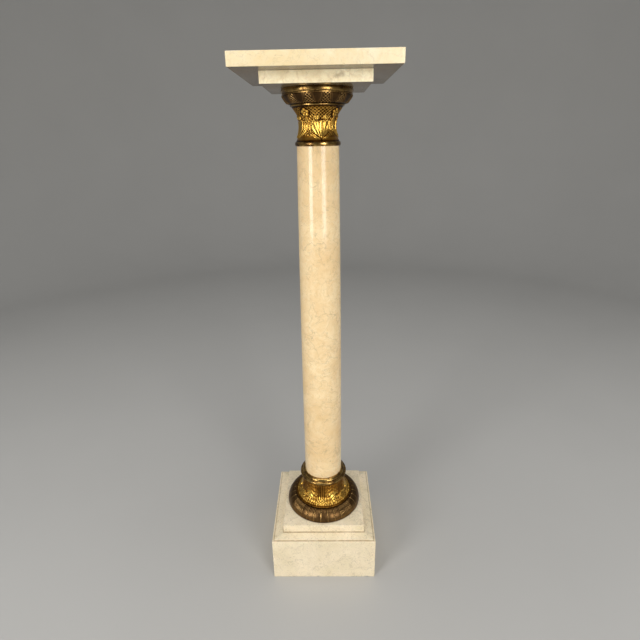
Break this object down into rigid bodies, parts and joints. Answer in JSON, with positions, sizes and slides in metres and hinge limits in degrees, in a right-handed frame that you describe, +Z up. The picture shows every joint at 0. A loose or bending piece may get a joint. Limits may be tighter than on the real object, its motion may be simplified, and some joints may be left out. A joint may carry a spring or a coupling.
{
  "type": "pedestal column stand",
  "caption": "Marble column pedestal on a stepped square plinth with a square top and cast bronze base mount and capital, clamped by a tie rod.",
  "frame": {"origin": "centre of the foot, on the surface the pedestal stands on", "axes": "+Z up the column; the four faces of the plinth and the top look along +X, -X, +Y and -Y, with the pictured face towards -Y"},
  "size_m": [0.2592, 0.2592, 1.07],
  "materials": {
    "plinth_marble": "cream marble, honed, faint grey speckle, slightly worn arrises",
    "shaft_marble": "cream marble, polished, fine grey veins",
    "top_marble": "cream marble, polished, faint veins",
    "gilt_bronze": "cast, chased and gilt, darkened in the hollows",
    "polished_bronze": "turned and polished, thin brown patina",
    "brown_bronze": "cast and chased, brown patina with rubbed highlights",
    "iron": "wrought, dull, lightly rusted",
    "packing_felt": "pressed felt washer"
  },
  "bodies": {
    "root": {"plinth_block": "plinth_marble", "step_slab": "plinth_marble", "base_torus": "brown_bronze", "base_collar": "gilt_bronze", "neck_ring": "polished_bronze", "shaft_foot_packing": "packing_felt", "shaft": "shaft_marble", "shaft_head_packing": "packing_felt", "astragal_ring": "polished_bronze", "capital_bell": "gilt_bronze", "fillet_ring": "polished_bronze", "capital_echinus": "brown_bronze", "capital_top_ring": "polished_bronze", "abacus_slab": "top_marble", "top_slab": "top_marble", "tie_rod": "iron", "foot_washer": "iron", "foot_nut": "iron", "head_washer": "iron", "head_nut": "iron", "left_dowel": "iron", "right_dowel": "iron"}
  },
  "joints": []
}
